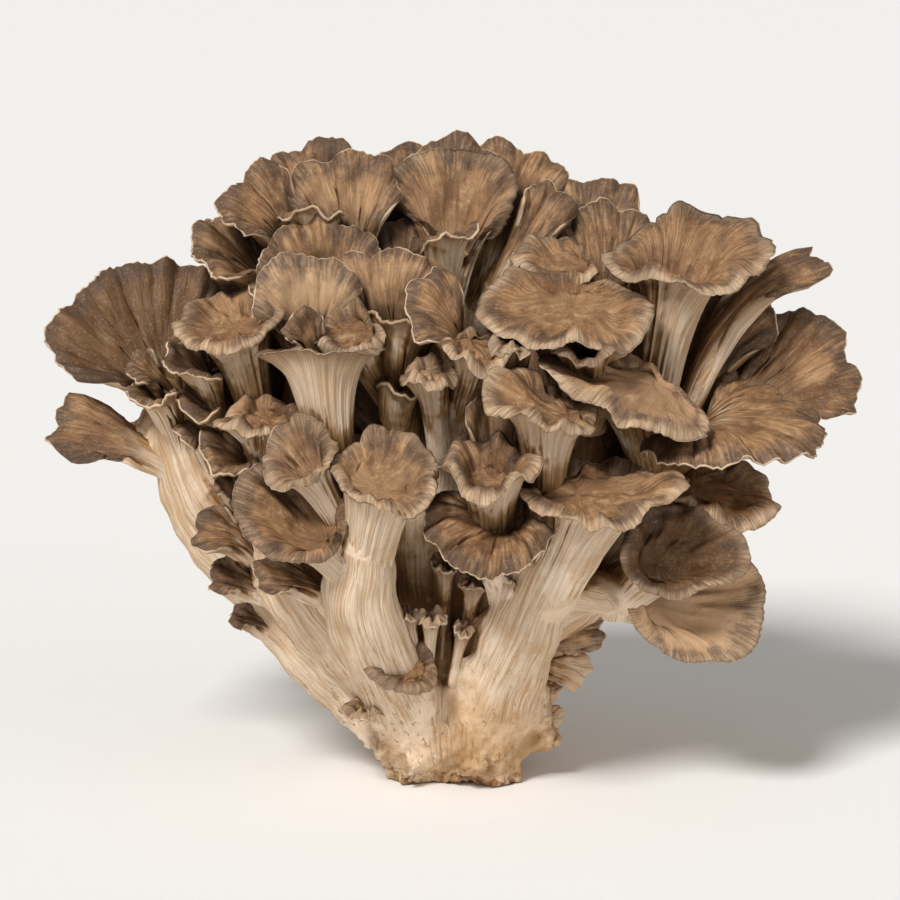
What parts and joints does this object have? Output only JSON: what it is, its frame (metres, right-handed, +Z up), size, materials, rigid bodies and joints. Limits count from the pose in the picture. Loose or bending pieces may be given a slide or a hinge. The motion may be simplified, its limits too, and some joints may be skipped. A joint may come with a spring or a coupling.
{
  "type": "maitake mushroom",
  "caption": "Free-standing maitake mushroom cluster: overlapping brown fan-shaped fronds on a pale branched stipe, cut flat below to stand on.",
  "frame": {"origin": "middle of the flat face where the stipe was cut, on the surface that the mushroom stands on", "axes": "+Z up through the crown, -Y towards the front of the cluster, +X to the right seen from the front"},
  "size_m": [0.2008, 0.1237, 0.159],
  "materials": {
    "stipe_flesh": "matt, finely fibrous, creamy white",
    "frond_skin": "matt brown above with fine radial fibres, cream and porous below"
  },
  "bodies": {
    "root": {"butt": "stipe_flesh", "left_outer_branch": "stipe_flesh", "left_inner_branch": "stipe_flesh", "front_left_branch": "stipe_flesh", "front_right_branch": "stipe_flesh", "right_arm": "stipe_flesh", "right_branch": "stipe_flesh", "core_branch": "stipe_flesh", "core_left_branch": "stipe_flesh", "core_right_branch": "stipe_flesh", "back_left_branch": "stipe_flesh", "back_middle_branch": "stipe_flesh", "back_right_branch": "stipe_flesh", "crown_left_front": "frond_skin", "crown_left_outer": "frond_skin", "crown_left_back": "frond_skin", "crown_middle": "frond_skin", "crown_middle_back": "frond_skin", "crown_right_rear": "frond_skin", "crown_right_back": "frond_skin", "tall_scoop": "frond_skin", "upper_left_cup": "frond_skin", "crown_mid_left": "frond_skin", "big_left_fan": "frond_skin", "low_left_tongue": "frond_skin", "left_outer_cap": "frond_skin", "left_small_cup": "frond_skin", "left_wide_cap": "frond_skin", "left_shelf": "frond_skin", "left_lower_cup": "frond_skin", "round_fan_left": "frond_skin", "round_fan_right": "frond_skin", "centre_trumpet": "frond_skin", "ruffled_cap": "frond_skin", "wavy_cap": "frond_skin", "inner_scoop": "frond_skin", "wavy_ring": "frond_skin", "upper_right_flap": "frond_skin", "right_funnel": "frond_skin", "far_right_tongue": "frond_skin", "right_upper_shelf": "frond_skin", "wavy_shelf": "frond_skin", "draped_shelf": "frond_skin", "right_outer_fan": "frond_skin", "big_right_fan": "frond_skin", "front_left_fan": "frond_skin", "front_round_cap": "frond_skin", "front_left_scoop": "frond_skin", "front_right_shelf": "frond_skin", "dark_drooping_fan": "frond_skin", "low_right_fan": "frond_skin", "ruffled_front_fan": "frond_skin", "back_crown_left": "frond_skin", "back_crown_right": "frond_skin", "back_middle_fan": "frond_skin", "back_left_fan": "frond_skin", "back_right_fan": "frond_skin", "back_low_shelf": "frond_skin", "back_left_shelf": "frond_skin", "back_right_shelf": "frond_skin"}
  },
  "joints": []
}
